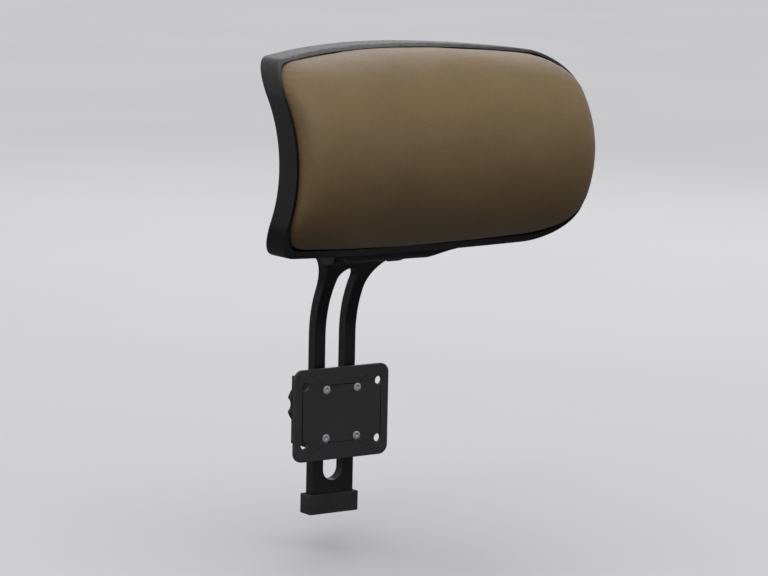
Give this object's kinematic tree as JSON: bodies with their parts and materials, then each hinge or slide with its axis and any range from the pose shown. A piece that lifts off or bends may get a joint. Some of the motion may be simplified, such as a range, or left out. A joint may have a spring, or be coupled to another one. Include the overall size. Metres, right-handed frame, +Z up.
{
  "type": "chair headrest attachment",
  "caption": "Padded headrest for an office chair: leather cushion in a black shell, tilting on a slotted arm that slides in a clamped guide.",
  "frame": {"origin": "centre of the bolt pattern, on the front face of the mounting plate that lies against the chair's back", "axes": "-Y forward, the way the sitter faces; +Z up; +X to the right when looking along +Y"},
  "size_m": [0.282, 0.2167, 0.391],
  "materials": {
    "cover_leather": "satin",
    "seat_foam": "matte",
    "plywood": "matte",
    "zinc_steel": "satin",
    "black_steel": "satin",
    "shell_plastic": "satin",
    "black_nylon": "satin",
    "knob_plastic": "matte",
    "cap_plastic": "gloss",
    "acetal": "satin",
    "friction_fibre": "matte",
    "bronze_bush": "satin",
    "spring_steel": "satin",
    "black_rubber": "matte"
  },
  "bodies": {
    "mount": {"mounting_plate": "black_steel", "plate_screws": "zinc_steel", "guide_housing": "black_nylon", "guide_cover": "black_nylon", "guide_cover_screws": "black_steel", "guide_liner_left": "acetal", "guide_liner_right": "acetal", "clamp_nut": "zinc_steel"},
    "arm": {"arm": "black_nylon", "arm_end_bumper": "black_rubber", "bumper_screws": "zinc_steel", "hinge_pin": "zinc_steel", "disc_springs": "spring_steel", "hinge_nut": "zinc_steel", "ear_bushes": "bronze_bush", "friction_discs": "friction_fibre", "hinge_cap_left": "cap_plastic", "hinge_cap_right": "cap_plastic"},
    "headrest": {"pad_cover": "cover_leather", "pad_foam": "seat_foam", "pad_board": "plywood", "tee_nuts": "zinc_steel", "cover_staples": "zinc_steel", "rear_shell": "shell_plastic", "shell_screws": "black_steel", "tilt_bracket": "black_nylon", "bracket_screws": "black_steel"},
    "clamp": {"clamp_pad": "black_rubber", "clamp_plate": "zinc_steel", "thrust_washer": "zinc_steel"},
    "knob": {"knob_grip": "knob_plastic", "knob_stud": "zinc_steel", "knob_cap": "cap_plastic"}
  },
  "joints": [
    {"name": "height_slide", "type": "slide", "parent": "mount", "child": "arm", "axis": [0, 0, 1], "range_m": [-0.03, 0.04]},
    {"name": "tilt", "type": "hinge", "parent": "arm", "child": "headrest", "pos_m": [0, -0.029, 0.14], "axis": [1, 0, 0], "range_deg": [-20, 30]},
    {"name": "clamp_travel", "type": "slide", "parent": "mount", "child": "clamp", "axis": [0, 1, 0], "range_m": [0, 0.0025]},
    {"name": "knob_turn", "type": "hinge", "parent": "clamp", "child": "knob", "pos_m": [0, 0.034, 0], "axis": [0, 1, 0], "range_deg": [0, 720]}
  ],
  "couplings": [
    {"joint": "knob_turn", "follows": "clamp_travel", "rad_per_m": 5026.5}
  ]
}
